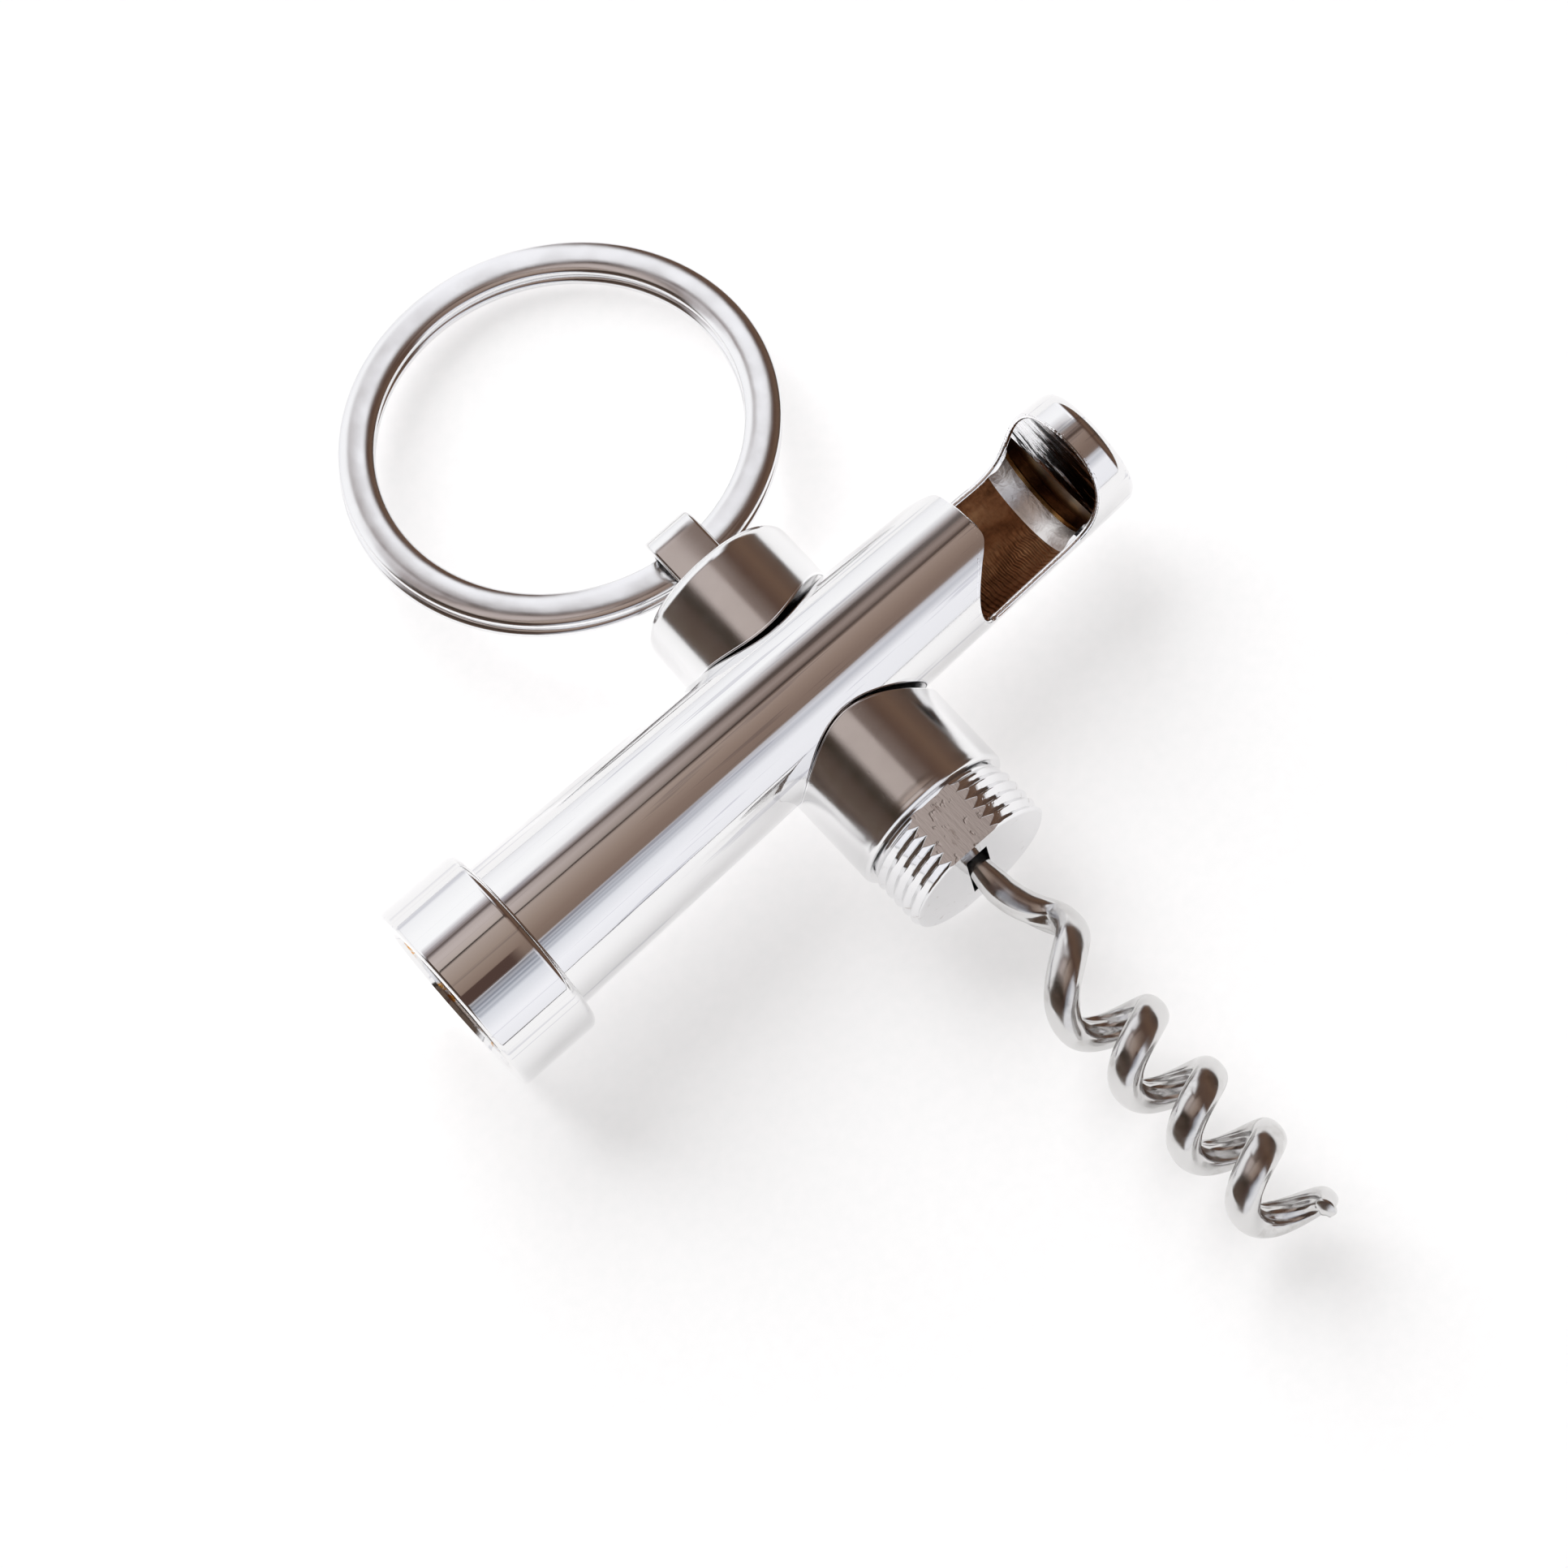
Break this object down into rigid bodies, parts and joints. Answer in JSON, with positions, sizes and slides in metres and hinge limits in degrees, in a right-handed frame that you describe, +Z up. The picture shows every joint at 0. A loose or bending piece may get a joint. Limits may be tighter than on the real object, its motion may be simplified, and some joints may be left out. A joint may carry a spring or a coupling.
{
  "type": "pocket corkscrew",
  "caption": "Key-ring corkscrew: a tapered tube with a bottle opener is the T handle, held in the saddle of a threaded head that carries the worm.",
  "frame": {"origin": "centre of the whole object's box, on the surface it lies on", "axes": "+X along the sheath towards the opener, -Y along the worm to its tip, +Y towards the key ring, +Z up"},
  "size_m": [0.0704, 0.114, 0.0192],
  "materials": {
    "sheath_plating": "polished plating, bare brass inside",
    "head_plating": "polished plating over a casting",
    "worm_steel": "plated drawn wire with draw lines",
    "ring_steel": "tumbled bright plating"
  },
  "bodies": {
    "sheath": {"sheath_tube": "sheath_plating", "threaded_collar": "sheath_plating"},
    "corkscrew": {"corkscrew_head": "head_plating", "worm": "worm_steel", "ring_bail": "head_plating"},
    "key_ring": {"split_ring": "ring_steel"}
  },
  "joints": [
    {"name": "sheath_slide", "type": "slide", "parent": "sheath", "child": "corkscrew", "axis": [1, 0, 0], "range_m": [0, 0.039]},
    {"name": "ring_swing", "type": "hinge", "parent": "corkscrew", "child": "key_ring", "pos_m": [0.00398, 0.02092, 0.00794], "axis": [0.9941, 0, -0.1085], "range_deg": [-70, 90]}
  ]
}
